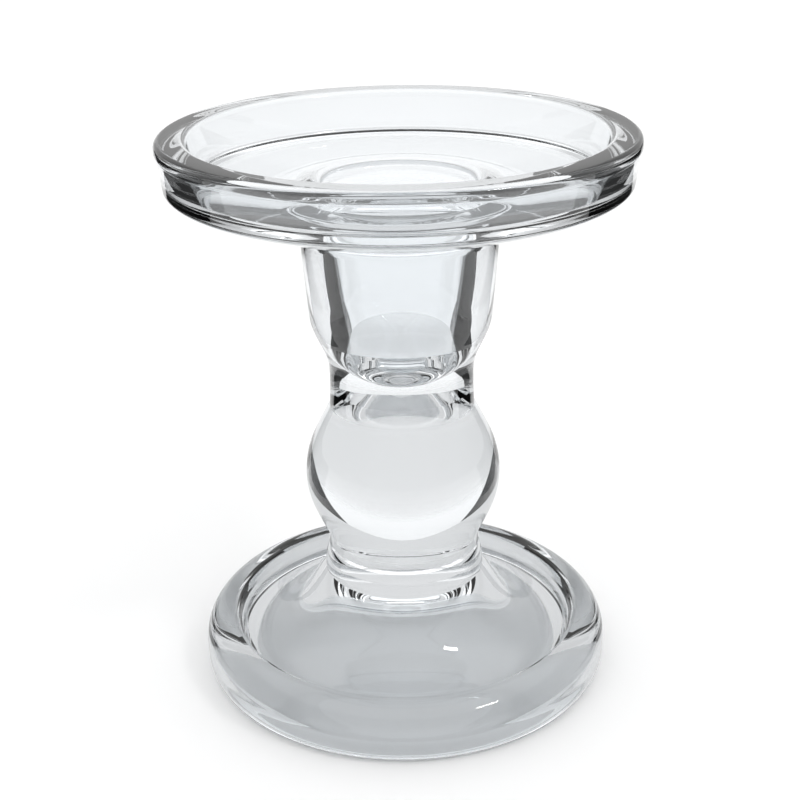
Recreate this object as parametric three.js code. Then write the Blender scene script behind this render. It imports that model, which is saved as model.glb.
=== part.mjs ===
// A clear glass candle holder: a raised-rim dish for a pillar candle, with a taper
// socket in its middle, carried by a ball stem and a domed foot.
//
// Units are millimetres, +Z is up, and the origin is the centre of the standing ring.
// Every section is turned about Z. The sections are fused to each other face to face.

import * as THREE from 'three';

// Height of each section, from the table up
const footHeight = 28;
const collarHeight = 5;
const ballHeight = 38;
const cupHeight = 36;
const dishHeight = 23;

// Foot
const footRadius = 48.7;
const footWidestHeight = 7;
const standingRingRadius = 46.5;
const standingRingWidth = 9;
const flangeSpread = 25;
const flangeCrestRadius = 42.2;
const flangeCrestHeight = 13.4;
const valleyRadius = 35.5;
const valleyHeight = 9.4;
const domeRise = 110;

// Hollow under the foot: narrow below the collar, then wider with a bell-shaped wall
const hollowRoof = 1.6;
const hollowNeckRadius = 17.5;
const hollowNeckDepth = 7.5;
const hollowNeckFall = -72;
const hollowBrimRadius = 27.5;
const hollowBrimHeight = 8.5;
const hollowBrimFall = -28;
const hollowMouthFall = -58;

// Collar between the foot and the ball
const collarRadius = 18.7;
const collarGroove = 0.5;
const collarGrooveHeight = 2.9;

// Ball
const neckRadius = 17.6;
const ballRadius = 22.9;
const ballWidestHeight = 16;
const ballRise = 68;
const waistRadius = 16.6;

// Taper cup
const cupShoulderRadius = 20.9;
const cupShoulderHeight = 18;
const cupTopRadius = 22.3;
const cupRise = 85;
const waistLength = 4;

// Taper socket: a funnel with a round end, in which a standard candle end of 22 mm stands
const socketMouthRadius = 22.5;
const socketThroatRadius = 16.2;
const socketKneeRadius = 12.3;
const socketRoundHeight = 16;
const socketBottomGlass = 2.6;
const socketWallFall = -101;

// Pillar dish
const dishRadius = 52.5;
const dishDepth = 10.5;
const rimWidth = 7;
const rimRound = 1.5;
const beadHeight = 3;
const beadProud = 0.6;
const wallDraft = 1.6;
const wallFootRadius = 51.1;
const wallCornerRadius = 2.6;
const undersideFall = 7.2;
const undersideSlope = 13;
const undersideEndSlope = 22;
const underDishRound = 3.6;
const beadSlope = 60;
const floorCornerRound = 1.4;

// Number of flat faces round each section, and along each curve of an outline
const facesRound = 60;
const stepsAlong = 5;

// Look of the glass, a little different in tone from section to section
const glassRoughness = 0.03;
const glassOpacity = 0.35;
const footTone = 0xdfe4e4;
const collarTone = 0xd6dcdd;
const ballTone = 0xe4e8e8;
const cupTone = 0xe0e5e5;
const dishTone = 0xe2e7e7;

// Handle length that makes a curve between two square directions a quarter round
const roundness = 0.39;
const gentle = 0.36;

const OUT = new THREE.Vector2(1, 0);
const IN = new THREE.Vector2(-1, 0);
const UP = new THREE.Vector2(0, 1);
const DOWN = new THREE.Vector2(0, -1);

// The direction that climbs at an angle, in degrees, above straight outwards.
function slope(degrees) {
  const angle = THREE.MathUtils.degToRad(degrees);
  return new THREE.Vector2(Math.cos(angle), Math.sin(angle));
}

// An outline in radius and height that starts at one point.
function outline(radius, height) {
  const path = new THREE.Path();
  path.moveTo(radius, height);
  return path;
}

// A curve to a point, which leaves along one direction and arrives along another.
function flow(path, radius, height, leave, arrive, fullness = roundness) {
  const start = path.currentPoint.clone();
  const end = new THREE.Vector2(radius, height);
  const reach = start.distanceTo(end) * fullness;
  const first = start.clone().addScaledVector(leave, reach);
  const last = end.clone().addScaledVector(arrive, -reach);
  path.bezierCurveTo(first.x, first.y, last.x, last.y, end.x, end.y);
}

// Clear pressed glass of one tone.
function glass(color) {
  return new THREE.MeshStandardMaterial({
    color,
    roughness: glassRoughness,
    metalness: 0,
    transparent: true,
    opacity: glassOpacity,
  });
}

// A section turned about Z from its outline, standing at a height above the table.
function turned(name, path, height, color) {
  const geometry = new THREE.LatheGeometry(path.getPoints(stepsAlong), facesRound);
  geometry.rotateX(Math.PI / 2);
  const mesh = new THREE.Mesh(geometry, glass(color));
  mesh.name = name;
  mesh.position.z = height;
  return mesh;
}

// Domed foot with a thick rounded flange, hollow underneath inside its standing ring.
function makeFoot(height) {
  const neckFall = slope(hollowNeckFall);
  const brimFall = slope(hollowBrimFall);
  const path = outline(0, footHeight - hollowRoof);
  flow(path, hollowNeckRadius, footHeight - hollowNeckDepth, OUT, neckFall);
  flow(path, hollowBrimRadius, hollowBrimHeight, neckFall, brimFall);
  flow(path, standingRingRadius - standingRingWidth, 0, brimFall, slope(hollowMouthFall));
  path.lineTo(standingRingRadius, 0);
  flow(path, footRadius, footWidestHeight, slope(flangeSpread), UP);
  flow(path, flangeCrestRadius, flangeCrestHeight, UP, IN);
  flow(path, valleyRadius, valleyHeight, IN, IN);
  flow(path, collarRadius, footHeight, IN, slope(domeRise));
  path.lineTo(0, footHeight);
  return turned('foot', path, height, footTone);
}

// Low collar with one fine groove round it, where the stem was joined to the foot.
function makeCollar(height) {
  const share = collarGrooveHeight / collarHeight;
  const grooveRadius = THREE.MathUtils.lerp(collarRadius, neckRadius, share);
  const path = outline(0, 0);
  path.lineTo(collarRadius, 0);
  path.lineTo(grooveRadius, collarGrooveHeight - collarGroove);
  path.lineTo(grooveRadius - collarGroove, collarGrooveHeight);
  path.lineTo(grooveRadius, collarGrooveHeight + collarGroove);
  path.lineTo(neckRadius, collarHeight);
  path.lineTo(0, collarHeight);
  return turned('collar', path, height, collarTone);
}

// Solid ball, fuller above than below, which narrows to the waist.
function makeBall(height) {
  const path = outline(0, 0);
  path.lineTo(neckRadius, 0);
  flow(path, ballRadius, ballWidestHeight, slope(ballRise), UP, gentle);
  flow(path, waistRadius, ballHeight, UP, UP);
  path.lineTo(0, ballHeight);
  return turned('ball_stem', path, height, ballTone);
}

// Cup that holds the lower part of the taper socket, with a solid bottom.
function makeCup(height) {
  const wallFall = slope(socketWallFall);
  const path = outline(0, 0);
  path.lineTo(waistRadius, 0);
  path.lineTo(waistRadius, waistLength);
  flow(path, cupShoulderRadius, cupShoulderHeight, UP, slope(cupRise));
  path.lineTo(cupTopRadius, cupHeight);
  path.lineTo(socketThroatRadius, cupHeight);
  path.lineTo(socketKneeRadius, socketBottomGlass + socketRoundHeight);
  flow(path, 0, socketBottomGlass, wallFall, IN);
  return turned('taper_cup', path, height, cupTone);
}

// Shallow dish with an upright wall, a beaded rim and the mouth of the taper socket.
function makeDish(height) {
  const floorHeight = dishHeight - dishDepth;
  const wallTopRadius = dishRadius - rimWidth;
  const wallFoot = wallTopRadius - wallDraft;
  const wallBottom = underDishRound + undersideFall;
  const underside = slope(undersideSlope);
  const undersideEnd = slope(undersideEndSlope);
  const path = outline(socketThroatRadius, 0);
  path.lineTo(cupTopRadius, 0);
  flow(path, cupTopRadius + underDishRound, underDishRound, slope(cupRise), underside);
  flow(path, wallFootRadius - wallCornerRadius, wallBottom, underside, undersideEnd, gentle);
  flow(path, wallFootRadius, wallBottom + wallCornerRadius, undersideEnd, UP);
  path.lineTo(dishRadius - beadProud, dishHeight - beadHeight);
  flow(path, dishRadius, dishHeight - beadHeight / 2, slope(beadSlope), UP);
  flow(path, dishRadius - rimRound, dishHeight, UP, IN);
  path.lineTo(wallTopRadius + rimRound, dishHeight);
  flow(path, wallTopRadius, dishHeight - rimRound, IN, DOWN);
  path.lineTo(wallFoot, floorHeight + floorCornerRound);
  flow(path, wallFoot - floorCornerRound, floorHeight, DOWN, IN);
  path.lineTo(socketMouthRadius, floorHeight);
  flow(path, socketThroatRadius, 0, IN, slope(socketWallFall));
  return turned('pillar_dish', path, height, dishTone);
}

// The sections from the table up, each standing on the one before it.
function makeHolder() {
  const holder = new THREE.Group();
  const sections = [
    [makeFoot, footHeight],
    [makeCollar, collarHeight],
    [makeBall, ballHeight],
    [makeCup, cupHeight],
    [makeDish, dishHeight],
  ];
  let height = 0;
  for (const [make, sectionHeight] of sections) {
    holder.add(make(height));
    height += sectionHeight;
  }
  return holder;
}

export default makeHolder();
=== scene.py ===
"""Looks of a clear pressed-glass candle holder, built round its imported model.

Lengths are in metres, +Z is up, and the origin is the centre of the standing ring.
Slopes, spreads, falls and flares are in degrees.
"""

import logging
import math
from dataclasses import dataclass, field
from enum import Enum
from itertools import pairwise
from typing import ClassVar

import bmesh
import bpy
from mathutils import Matrix, Vector


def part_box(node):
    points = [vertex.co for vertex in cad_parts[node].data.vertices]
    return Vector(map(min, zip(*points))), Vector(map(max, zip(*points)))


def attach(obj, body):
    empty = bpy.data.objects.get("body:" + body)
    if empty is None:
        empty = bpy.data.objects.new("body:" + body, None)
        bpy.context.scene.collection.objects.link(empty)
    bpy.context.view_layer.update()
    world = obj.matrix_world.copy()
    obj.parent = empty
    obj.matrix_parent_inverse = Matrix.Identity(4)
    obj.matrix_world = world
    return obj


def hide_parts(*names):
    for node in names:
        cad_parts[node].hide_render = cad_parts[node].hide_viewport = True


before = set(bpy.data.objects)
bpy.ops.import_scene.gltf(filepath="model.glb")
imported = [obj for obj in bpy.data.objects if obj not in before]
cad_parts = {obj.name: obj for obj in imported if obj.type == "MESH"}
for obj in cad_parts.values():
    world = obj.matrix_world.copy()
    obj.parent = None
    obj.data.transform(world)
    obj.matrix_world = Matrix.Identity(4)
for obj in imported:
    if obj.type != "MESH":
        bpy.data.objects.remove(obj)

LOG = logging.getLogger("candle_holder")

NodeValue = bpy.types.NodeSocket | float

MM = 0.001
BODY = "root"
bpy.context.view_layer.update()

IMAGE_SIZE = 800
SENSOR_WIDTH = 36.0

# Handle length that makes a curve between two square directions a quarter round
ROUND = 0.39
GENTLE = 0.36

FACES_ROUND = 180
STEPS_ALONG = 10
MERGE_DISTANCE = 1e-6

# Slope of the cup's wall at its shoulder, and of the dish where it carries that wall on
CUP_SLOPE = 85.0


class Heading(Enum):
    """Directions, in radius and height, in which an outline leaves or reaches a point."""

    OUT = (1.0, 0.0)
    IN = (-1.0, 0.0)
    UP = (0.0, 1.0)
    DOWN = (0.0, -1.0)

    @property
    def vector(self) -> Vector:
        """The direction as a vector in the X Z plane."""
        return Vector((self.value[0], 0.0, self.value[1]))


def slope(degrees: float) -> Vector:
    """The direction that climbs at an angle above straight outwards.

    Args:
        degrees: Angle above outwards.

    Returns:
        A unit vector in the X Z plane.
    """
    angle = math.radians(degrees)
    return Vector((math.cos(angle), 0.0, math.sin(angle)))


OUT, IN, UP, DOWN = (heading.vector for heading in Heading)


class Outline:
    """A line in radius and height that a section is turned from."""

    def __init__(self, radius: float, height: float) -> None:
        """Starts the outline at one point.

        Args:
            radius: Distance from the Z axis.
            height: Height above the table.
        """
        self.points: list[Vector] = [Vector((radius, 0.0, height))]

    def line(self, radius: float, height: float) -> None:
        """Adds a straight stretch to a point."""
        self.points.append(Vector((radius, 0.0, height)))

    def flow(
        self,
        radius: float,
        height: float,
        leave: Vector,
        arrive: Vector,
        fullness: float = ROUND,
    ) -> None:
        """Adds a curve that leaves along one direction and arrives along another.

        Args:
            radius: Radius of the curve's end.
            height: Height of the curve's end.
            leave: Direction at the start.
            arrive: Direction at the end.
            fullness: Handle length as a share of the straight distance.
        """
        start = self.points[-1]
        end = Vector((radius, 0.0, height))
        reach = (end - start).length * fullness
        first = start + leave * reach
        last = end - arrive * reach
        for step in range(1, STEPS_ALONG + 1):
            t = step / STEPS_ALONG
            s = 1.0 - t
            point = start * s**3 + first * (3 * s * s * t) + last * (3 * s * t * t) + end * t**3
            self.points.append(point)


@dataclass(frozen=True)
class ClearGlass:
    """Clear pressed glass with a faint wave in its surface."""

    name: str
    tint: tuple[float, float, float] = (0.875, 0.897, 0.914)
    ior: float = 1.52
    roughness: float = 0.0
    wave_scale: float = 60.0
    wave_detail: float = 1.0
    wave_height: float = 0.02 * MM

    def build(self) -> bpy.types.Material:
        """Makes the node material.

        Returns:
            The material.
        """
        material = bpy.data.materials.new(self.name)
        material.use_nodes = True
        nodes = material.node_tree.nodes
        links = material.node_tree.links
        shader = nodes["Principled BSDF"]
        shader.inputs["Base Color"].default_value = (*self.tint, 1.0)
        shader.inputs["Transmission Weight"].default_value = 1.0
        shader.inputs["IOR"].default_value = self.ior
        shader.inputs["Roughness"].default_value = self.roughness
        place = nodes.new("ShaderNodeTexCoord")
        noise = nodes.new("ShaderNodeTexNoise")
        noise.inputs["Scale"].default_value = self.wave_scale
        noise.inputs["Detail"].default_value = self.wave_detail
        bump = nodes.new("ShaderNodeBump")
        bump.inputs["Strength"].default_value = 1.0
        bump.inputs["Distance"].default_value = self.wave_height
        links.new(place.outputs["Object"], noise.inputs["Vector"])
        links.new(noise.outputs["Fac"], bump.inputs["Height"])
        links.new(bump.outputs["Normal"], shader.inputs["Normal"])
        return material


@dataclass(frozen=True)
class FusedJoint:
    """The level faces where two sections are one glass, which light passes unbent."""

    name: str = "fused_joint"

    def build(self) -> bpy.types.Material:
        """Makes the node material.

        Returns:
            The material.
        """
        material = bpy.data.materials.new(self.name)
        material.use_nodes = True
        shader = material.node_tree.nodes["Principled BSDF"]
        shader.inputs["Alpha"].default_value = 0.0
        return material


@dataclass
class Section:
    """A section of the holder, turned about Z from its outline."""

    node: ClassVar[str]
    fused_below: ClassVar[bool] = True
    fused_above: ClassVar[bool] = True

    crease: float = math.radians(15)
    base: float = field(init=False)
    top: float = field(init=False)
    widest: float = field(init=False)

    def __post_init__(self) -> None:
        """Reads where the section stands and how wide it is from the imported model."""
        low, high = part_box(self.node)
        self.base = low.z
        self.top = high.z
        self.widest = high.x

    def outline(self) -> Outline:
        """The section's outline, counter-clockwise in radius and height."""
        raise NotImplementedError

    def build(self, glass: bpy.types.Material, joint: bpy.types.Material) -> bpy.types.Object:
        """Turns the outline into a closed piece and dresses it.

        Args:
            glass: Material of the outside.
            joint: Material of the level faces fused to a neighbour.

        Returns:
            The piece, riding on the holder.
        """
        mesh = bpy.data.meshes.new(self.node)
        mesh.materials.append(glass)
        mesh.materials.append(joint)
        shape = self.turn()
        self.mark_joints(shape)
        shape.to_mesh(mesh)
        shape.free()
        piece = bpy.data.objects.new(f"{self.node}_glass", mesh)
        bpy.context.scene.collection.objects.link(piece)
        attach(piece, BODY)
        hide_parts(self.node)
        LOG.info("%s: %d faces", piece.name, len(mesh.polygons))
        return piece

    def turn(self) -> bmesh.types.BMesh:
        """Spins the outline about Z.

        Returns:
            A closed shape whose faces point outwards.
        """
        shape = bmesh.new()
        points = self.outline().points
        if (points[-1] - points[0]).length < MERGE_DISTANCE:
            points = points[:-1]
        corners = [shape.verts.new(point) for point in points]
        edges = [shape.edges.new(pair) for pair in pairwise(corners)]
        if points[0].x > 0.0:
            edges.append(shape.edges.new((corners[-1], corners[0])))
        bmesh.ops.spin(
            shape,
            geom=corners + edges,
            cent=(0.0, 0.0, 0.0),
            axis=(0.0, 0.0, 1.0),
            angle=math.tau,
            steps=FACES_ROUND,
            use_merge=True,
        )
        bmesh.ops.remove_doubles(shape, verts=shape.verts, dist=MERGE_DISTANCE)
        bmesh.ops.recalc_face_normals(shape, faces=shape.faces)
        for face in shape.faces:
            face.smooth = True
        for edge in shape.edges:
            edge.smooth = edge.calc_face_angle(0.0) < self.crease
        return shape

    def mark_joints(self, shape: bmesh.types.BMesh) -> None:
        """Gives the level faces fused to a neighbour the second material.

        Args:
            shape: The turned section.
        """
        levels = [self.base] * self.fused_below + [self.top] * self.fused_above
        for face in shape.faces:
            centre = face.calc_center_median()
            if any(abs(centre.z - level) < MERGE_DISTANCE for level in levels):
                face.material_index = 1


@dataclass
class Foot(Section):
    """Domed foot with a thick rounded flange, hollow underneath inside its standing ring."""

    node = "foot"
    fused_below = False

    widest_height: float = 7.0 * MM
    flange_spread: float = 25.0
    ring_radius: float = 46.5 * MM
    ring_width: float = 5.0 * MM
    crest_radius: float = 42.8 * MM
    crest_height: float = 13.4 * MM
    valley_radius: float = 38.0 * MM
    valley_height: float = 9.4 * MM
    valley_full: float = 0.55
    neck_radius: float = 18.7 * MM
    hollow_height: float = 19.0 * MM
    hollow_neck_radius: float = 17.0 * MM
    hollow_neck_height: float = 14.7 * MM
    hollow_neck_fall: float = 42.0
    hollow_brim_radius: float = 30.0 * MM
    hollow_brim_height: float = 6.5 * MM
    hollow_brim_fall: float = 20.0
    hollow_mouth_fall: float = 50.0
    dome_radius: float = 19.0 * MM
    dome_height: float = 24.5 * MM
    dome_slope: float = 125.0

    def outline(self) -> Outline:
        """The dome outside and the hollow inside.

        Returns:
            The closed outline.
        """
        neck = slope(-self.hollow_neck_fall)
        brim = slope(-self.hollow_brim_fall)
        mouth = slope(-self.hollow_mouth_fall)
        line = Outline(0.0, self.hollow_height)
        line.flow(self.hollow_neck_radius, self.hollow_neck_height, OUT, neck)
        line.flow(self.hollow_brim_radius, self.hollow_brim_height, neck, brim)
        line.flow(self.ring_radius - self.ring_width, self.base, brim, mouth)
        line.line(self.ring_radius, self.base)
        line.flow(self.widest, self.widest_height, slope(self.flange_spread), UP)
        line.flow(self.crest_radius, self.crest_height, UP, IN)
        line.flow(self.valley_radius, self.valley_height, IN, IN, self.valley_full)
        line.flow(self.dome_radius, self.dome_height, IN, slope(self.dome_slope))
        line.line(self.neck_radius, self.top)
        line.line(0.0, self.top)
        return line


@dataclass
class Collar(Section):
    """Low collar with one fine groove, where the stem was joined to the foot."""

    node = "collar"

    neck_radius: float = 17.6 * MM
    groove: float = 0.5 * MM
    groove_height: float = 2.9 * MM

    def outline(self) -> Outline:
        """The tapering band and its groove.

        Returns:
            The closed outline.
        """
        share = self.groove_height / (self.top - self.base)
        groove_radius = self.widest + (self.neck_radius - self.widest) * share
        middle = self.base + self.groove_height
        line = Outline(0.0, self.base)
        line.line(self.widest, self.base)
        line.line(groove_radius, middle - self.groove)
        line.line(groove_radius - self.groove, middle)
        line.line(groove_radius, middle + self.groove)
        line.line(self.neck_radius, self.top)
        line.line(0.0, self.top)
        return line


@dataclass
class BallStem(Section):
    """Solid ball, fuller above than below, which narrows to the waist."""

    node = "ball_stem"

    neck_radius: float = 17.6 * MM
    widest_rise: float = 16.0 * MM
    waist_radius: float = 16.6 * MM
    side_slope: float = 68.0
    crease_radius: float = 16.8 * MM
    crease_drop: float = 4.5 * MM
    top_slope: float = 116.0

    def outline(self) -> Outline:
        """The ball between the neck and the waist.

        Returns:
            The closed outline.
        """
        line = Outline(0.0, self.base)
        line.line(self.neck_radius, self.base)
        line.flow(self.widest, self.base + self.widest_rise, slope(self.side_slope), UP, GENTLE)
        crease = self.top - self.crease_drop
        line.flow(self.crease_radius, crease, UP, slope(self.top_slope))
        line.line(self.waist_radius, self.top)
        line.line(0.0, self.top)
        return line


@dataclass(frozen=True)
class Socket:
    """The hollow for a taper candle, a funnel that opens into the dish floor."""

    mouth_radius: float = 19.5 * MM
    throat_radius: float = 16.2 * MM
    throat_flare: float = 11.0
    end_radius: float = 12.3 * MM
    end_flare: float = 11.0
    end_turn: float = 24.0
    end_height: float = 73.6 * MM
    end_round: float = 10.5 * MM

    @property
    def throat_heading(self) -> Vector:
        """Direction of the wall where dish and cup meet, going down."""
        return slope(-90 - self.throat_flare)

    def cut_mouth(self, line: Outline, floor: float, throat: float) -> None:
        """Carries an outline from the dish floor down into the throat.

        Args:
            line: Outline that has reached the dish floor.
            floor: Height of the dish floor.
            throat: Height where the dish and the cup meet.
        """
        line.line(self.mouth_radius, floor)
        line.flow(self.throat_radius, throat, IN, self.throat_heading)

    def cut_end(self, line: Outline) -> None:
        """Carries an outline from the throat down to the round end on the axis.

        Args:
            line: Outline that has reached the throat.
        """
        arrive = slope(-90 - self.end_flare)
        leave = slope(-90 - self.end_flare - self.end_turn)
        knee = self.end_height + self.end_round
        line.flow(self.end_radius, knee, self.throat_heading, arrive, GENTLE)
        line.flow(0.0, self.end_height, leave, IN)


@dataclass
class TaperCup(Section):
    """Cup that holds the lower part of the socket, with a solid bottom."""

    node = "taper_cup"

    waist_radius: float = 16.6 * MM
    waist_length: float = 4.0 * MM
    shoulder_radius: float = 20.9 * MM
    shoulder_rise: float = 18.0 * MM
    socket: Socket = Socket()

    def outline(self) -> Outline:
        """The cup outside and the socket inside.

        Returns:
            The closed outline.
        """
        line = Outline(0.0, self.base)
        line.line(self.waist_radius, self.base)
        line.line(self.waist_radius, self.base + self.waist_length)
        line.flow(self.shoulder_radius, self.base + self.shoulder_rise, UP, slope(CUP_SLOPE))
        line.line(self.widest, self.top)
        line.line(self.socket.throat_radius, self.top)
        self.socket.cut_end(line)
        return line


@dataclass
class PillarDish(Section):
    """Shallow dish with an upright wall, a beaded rim and the mouth of the socket."""

    node = "pillar_dish"
    fused_above = False

    crease: float = math.radians(34)
    depth: float = 10.5 * MM
    rim_width: float = 7.0 * MM
    rim_round: float = 1.5 * MM
    bead_height: float = 3.0 * MM
    bead_proud: float = 0.25 * MM
    bead_slope: float = 60.0
    wall_draft: float = 1.6 * MM
    wall_foot_radius: float = 51.3 * MM
    wall_corner: float = 2.6 * MM
    underside_slope: float = 13.0
    end_slope: float = 22.0
    underside_fall: float = 7.2 * MM
    under_round: float = 3.6 * MM
    floor_corner: float = 3.0 * MM
    cup_radius: float = 22.3 * MM
    socket: Socket = Socket()

    def outline(self) -> Outline:
        """The underside and wall outside, and the rim, floor and socket mouth inside.

        Returns:
            The closed outline.
        """
        floor = self.top - self.depth
        wall_top = self.widest - self.rim_width
        wall_foot = wall_top - self.wall_draft
        bottom = self.base + self.under_round + self.underside_fall
        line = Outline(self.socket.throat_radius, self.base)
        line.line(self.cup_radius, self.base)
        round_radius = self.cup_radius + self.under_round
        under = slope(self.underside_slope)
        line.flow(round_radius, self.base + self.under_round, slope(CUP_SLOPE), under)
        corner_radius = self.wall_foot_radius - self.wall_corner
        end = slope(self.end_slope)
        line.flow(corner_radius, bottom, under, end, GENTLE)
        line.flow(self.wall_foot_radius, bottom + self.wall_corner, end, UP)
        line.line(self.widest - self.bead_proud, self.top - self.bead_height)
        line.flow(self.widest, self.top - self.bead_height / 2, slope(self.bead_slope), UP)
        line.flow(self.widest - self.rim_round, self.top, UP, IN)
        line.line(wall_top + self.rim_round, self.top)
        line.flow(wall_top, self.top - self.rim_round, IN, DOWN)
        line.line(wall_foot, floor + self.floor_corner)
        line.flow(wall_foot - self.floor_corner, floor, DOWN, IN)
        self.socket.cut_mouth(line, floor, self.base)
        return line


@dataclass(frozen=True)
class PhotoCamera:
    """The camera of the photograph, in front of the holder and above it, looking down."""

    distance: float = 308.0 * MM
    height: float = 197.2 * MM
    pitch: float = 0.4008
    roll: float = math.radians(-0.873)
    focal_pixels: float = 1436.5
    aside: float = -0.48 * MM
    nearest: float = 0.01
    farthest: float = 20.0

    def build(self) -> bpy.types.Object:
        """Makes the camera and makes it the scene's own.

        Returns:
            The camera object.
        """
        data = bpy.data.cameras.new("photo_camera")
        data.sensor_width = SENSOR_WIDTH
        data.lens = self.focal_pixels / IMAGE_SIZE * SENSOR_WIDTH
        data.clip_start = self.nearest
        data.clip_end = self.farthest
        camera = bpy.data.objects.new("photo_camera", data)
        tilt = Matrix.Rotation(math.pi / 2 - self.pitch, 4, "X")
        turn = Matrix.Rotation(self.roll, 4, "Z")
        spot = Matrix.Translation((self.aside, -self.distance, self.height))
        camera.matrix_world = spot @ tilt @ turn
        bpy.context.scene.collection.objects.link(camera)
        bpy.context.scene.camera = camera
        return camera


class NodeBench:
    """Short ways to add nodes to the tree of one material or sky."""

    def __init__(self, tree: bpy.types.NodeTree) -> None:
        """Works on one node tree."""
        self.nodes = tree.nodes
        self.links = tree.links

    def put(self, socket: bpy.types.NodeSocket, value: NodeValue) -> None:
        """Links a socket to an output, or sets its value.

        Args:
            socket: The socket to feed.
            value: A number or an output.
        """
        if isinstance(value, bpy.types.NodeSocket):
            self.links.new(value, socket)
        else:
            socket.default_value = value

    def math(self, operation: str, *values: NodeValue) -> bpy.types.NodeSocket:
        """Adds a Math node.

        Args:
            operation: Blender's name of the operation.
            values: Numbers or outputs, in the order of the node's sockets.

        Returns:
            The node's output.
        """
        node = self.nodes.new("ShaderNodeMath")
        node.operation = operation
        for socket, value in zip(node.inputs, values):
            self.put(socket, value)
        return node.outputs["Value"]

    def fade(self, value: NodeValue, start: float, end: float) -> bpy.types.NodeSocket:
        """Adds a smooth rise from 0 to 1.

        Args:
            value: The output that rises.
            start: Its value where the rise starts.
            end: Its value where the rise ends.

        Returns:
            The risen value.
        """
        node = self.nodes.new("ShaderNodeMapRange")
        node.interpolation_type = "SMOOTHSTEP"
        self.put(node.inputs["Value"], value)
        self.put(node.inputs["From Min"], start)
        self.put(node.inputs["From Max"], end)
        return node.outputs["Result"]

    def mix(
        self, share: NodeValue, first: NodeValue, second: NodeValue
    ) -> bpy.types.NodeSocket:
        """Adds a mix of two numbers.

        Args:
            share: Share of the second number.
            first: First number.
            second: Second number.

        Returns:
            The mixed number.
        """
        node = self.nodes.new("ShaderNodeMix")
        self.put(node.inputs[0], share)
        self.put(node.inputs[2], first)
        self.put(node.inputs[3], second)
        return node.outputs[0]

    def axes(self, coordinates: str) -> bpy.types.NodeOutputs:
        """Adds texture coordinates and splits them.

        Args:
            coordinates: Name of the coordinates.

        Returns:
            The outputs X, Y and Z.
        """
        place = self.nodes.new("ShaderNodeTexCoord")
        split = self.nodes.new("ShaderNodeSeparateXYZ")
        self.links.new(place.outputs[coordinates], split.inputs["Vector"])
        return split.outputs


@dataclass(frozen=True)
class MatteFinish:
    """A plain grey surface."""

    name: str
    tone: float
    roughness: float = 0.5
    shine: float = 0.5

    def build(self) -> bpy.types.Material:
        """Makes the node material.

        Returns:
            The material.
        """
        material = bpy.data.materials.new(self.name)
        material.use_nodes = True
        shader = material.node_tree.nodes["Principled BSDF"]
        shader.inputs["Base Color"].default_value = (self.tone, self.tone, self.tone, 1.0)
        shader.inputs["Roughness"].default_value = self.roughness
        shader.inputs["Specular IOR Level"].default_value = self.shine
        return material


@dataclass(frozen=True)
class Floor:
    """A plain pale floor, a hair's breadth of air under the standing ring."""

    finish: MatteFinish = MatteFinish("pale_floor", 0.9, roughness=0.9)
    size: float = 4.0
    gap: float = 0.1 * MM

    def build(self) -> None:
        """Makes the floor."""
        shape = bmesh.new()
        bmesh.ops.create_grid(shape, x_segments=1, y_segments=1, size=self.size)
        bmesh.ops.translate(shape, verts=shape.verts, vec=(0.0, 0.0, -self.gap))
        mesh = bpy.data.meshes.new("floor")
        shape.to_mesh(mesh)
        shape.free()
        mesh.materials.append(self.finish.build())
        floor = bpy.data.objects.new("floor", mesh)
        bpy.context.scene.collection.objects.link(floor)


def show_to_glass_only(piece: bpy.types.Object) -> None:
    """Hides a stage piece from the camera and the floor, and takes its shadow away.

    Args:
        piece: The stage piece.
    """
    piece.visible_camera = False
    piece.visible_diffuse = False
    piece.visible_shadow = False


@dataclass(frozen=True)
class SidePaintedShade:
    """A dark sheet of painted shade on the floor at one side, which only the glass sees.

    Clear glass shows its edges by what lies beside it, and the sheet paints shade there. It
    casts no shadow and hides nothing from the camera, so the floor stays plain.
    """

    side: float
    # Near-black tone: painted shade that the glass sees at the side of the holder.
    finish: MatteFinish = MatteFinish("painted_side_shade", 0.025, shine=0.0)
    lift: float = 0.4 * MM
    corner: tuple[float, float] = (0.1, 0.012)
    near: float = 0.065
    spread: float = 0.5
    start: float = 0.075
    back: float = 3.0
    far: float = 3.5
    front: float = 0.35

    def corners(self) -> list[Vector]:
        """Places the corners of the sheet.

        Returns:
            The corners in order, from the front one nearest the holder.
        """
        spots = [
            self.corner,
            (self.near + self.start * self.spread, self.start),
            (self.near + self.back * self.spread, self.back),
            (self.far, self.back),
            (self.far, self.front),
        ]
        return [Vector((self.side * x, y, self.lift)) for x, y in spots]

    def build(self) -> None:
        """Makes the sheet of painted shade."""
        shape = bmesh.new()
        corners = [shape.verts.new(spot) for spot in self.corners()]
        bmesh.ops.contextual_create(shape, geom=corners)
        mesh = bpy.data.meshes.new("painted_shade_sheet")
        shape.to_mesh(mesh)
        shape.free()
        mesh.materials.append(self.finish.build())
        shade_sheet = bpy.data.objects.new("painted_shade_sheet", mesh)
        bpy.context.scene.collection.objects.link(shade_sheet)
        show_to_glass_only(shade_sheet)


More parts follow.
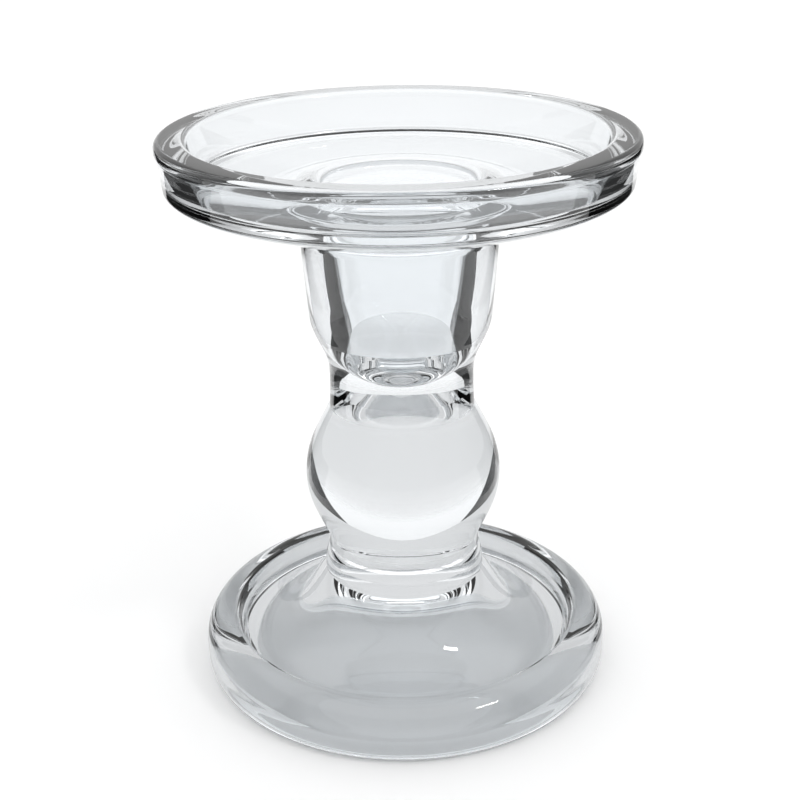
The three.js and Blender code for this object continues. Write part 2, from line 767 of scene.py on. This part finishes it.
@dataclass(frozen=True)
class ShadeMat:
    """A soft grey ring of painted shadow on the floor round the foot, which only the glass
    sees.

    It stands for the dimmer floor that lies round a heavy glass foot.
    """

    # Grey tone: painted shadow round the foot, which only the glass sees.
    finish: MatteFinish = MatteFinish("painted_shadow_ring", 0.72, shine=0.0)
    lift: float = -0.05 * MM
    sides: int = 64
    radius: float = 0.24
    full: float = 0.1
    inner_full: float = 0.08
    inner: float = 0.02

    def build(self) -> None:
        """Makes the mat."""
        shape = bmesh.new()
        bmesh.ops.create_circle(shape, cap_ends=True, segments=self.sides, radius=self.radius)
        bmesh.ops.translate(shape, verts=shape.verts, vec=(0.0, 0.0, self.lift))
        mesh = bpy.data.meshes.new("shade_mat")
        shape.to_mesh(mesh)
        shape.free()
        mesh.materials.append(self.material())
        mat = bpy.data.objects.new("shade_mat", mesh)
        bpy.context.scene.collection.objects.link(mat)
        show_to_glass_only(mat)

    def material(self) -> bpy.types.Material:
        """Makes the mat's painted shadow, which thins out towards both edges.

        Returns:
            The material.
        """
        material = self.finish.build()
        bench = NodeBench(material.node_tree)
        shader = bench.nodes["Principled BSDF"]
        place = bench.nodes.new("ShaderNodeTexCoord")
        length = bench.nodes.new("ShaderNodeVectorMath")
        length.operation = "LENGTH"
        bench.links.new(place.outputs["Object"], length.inputs[0])
        distance = length.outputs["Value"]
        outside = bench.fade(distance, self.radius, self.full)
        inside = bench.fade(distance, self.inner, self.inner_full)
        bench.put(shader.inputs["Alpha"], bench.math("MULTIPLY", outside, inside))
        return material


@dataclass(frozen=True)
class Sky:
    """Soft light from all round: brightest from above, dimmer from both sides."""

    top: float = 1.5
    back: float = 0.8
    front: float = 0.9
    side: float = 0.72
    front_from: float = -0.2
    front_full: float = -0.7
    top_from: float = 0.60
    top_full: float = 0.75
    side_from: float = 0.45
    side_full: float = 0.85

    def build(self) -> None:
        """Makes the sky."""
        world = bpy.data.worlds.new("soft_light")
        bpy.context.scene.world = world
        world.use_nodes = True
        bench = NodeBench(world.node_tree)
        axes = bench.axes("Generated")
        aside = bench.fade(bench.math("ABSOLUTE", axes["X"]), self.side_from, self.side_full)
        near = bench.fade(axes["Y"], self.front_from, self.front_full)
        low = bench.mix(aside, bench.mix(near, self.back, self.front), self.side)
        high = bench.fade(axes["Z"], self.top_from, self.top_full)
        background = world.node_tree.nodes["Background"]
        background.inputs["Color"].default_value = (1.0, 1.0, 1.0, 1.0)
        bench.put(background.inputs["Strength"], bench.mix(high, low, self.top))


@dataclass(frozen=True)
class Lamp:
    """A soft lamp that points at the holder."""

    name: str
    place: tuple[float, float, float]
    width: float
    depth: float
    power: float

    def build(self) -> None:
        """Makes the lamp."""
        light = bpy.data.lights.new(self.name, "AREA")
        light.shape = "RECTANGLE"
        light.size = self.width
        light.size_y = self.depth
        light.energy = self.power
        lamp = bpy.data.objects.new(self.name, light)
        place = Vector(self.place)
        turn = place.to_track_quat("Z", "Y").to_matrix().to_4x4()
        lamp.matrix_world = Matrix.Translation(place) @ turn
        bpy.context.scene.collection.objects.link(lamp)


@dataclass(frozen=True)
class Studio:
    """The floor, the sheets of painted shade and the ring of painted shadow that the glass
    sees, the sky and the lamps.
    """

    floor: Floor = Floor()
    # Painted shade at both sides and painted shadow round the foot, shown to the glass only.
    shade_sheets: tuple[SidePaintedShade, ...] = (SidePaintedShade(-1.0), SidePaintedShade(1.0))
    mat: ShadeMat = ShadeMat()
    sky: Sky = Sky()
    lamps: tuple[Lamp, ...] = (Lamp("key_lamp", (0.6, -0.42, 0.85), 0.2, 0.05, 1.2),)
    view: str = "Standard"
    bounces: int = 24
    clear_bounces: int = 32

    def build(self) -> None:
        """Makes the studio and sets how the picture is developed."""
        for part in (self.floor, *self.shade_sheets, self.mat, self.sky, *self.lamps):
            part.build()
        scene = bpy.context.scene
        scene.view_settings.view_transform = self.view
        scene.cycles.max_bounces = self.bounces
        scene.cycles.transmission_bounces = self.bounces
        scene.cycles.transparent_max_bounces = self.clear_bounces


def build_holder() -> list[bpy.types.Object]:
    """Builds every section of the holder, from the foot up.

    Returns:
        The pieces.
    """
    glass = ClearGlass("clear_glass").build()
    joint = FusedJoint().build()
    socket = Socket()
    cup = TaperCup(socket=socket)
    dish = PillarDish(socket=socket)
    sections = [Foot(), Collar(), BallStem(), cup, dish]
    return [section.build(glass, joint) for section in sections]


def main() -> None:
    """Builds the camera, the studio and the holder."""
    logging.basicConfig(level=logging.INFO)
    PhotoCamera().build()
    Studio().build()
    build_holder()


if __name__ == "__main__":
    main()
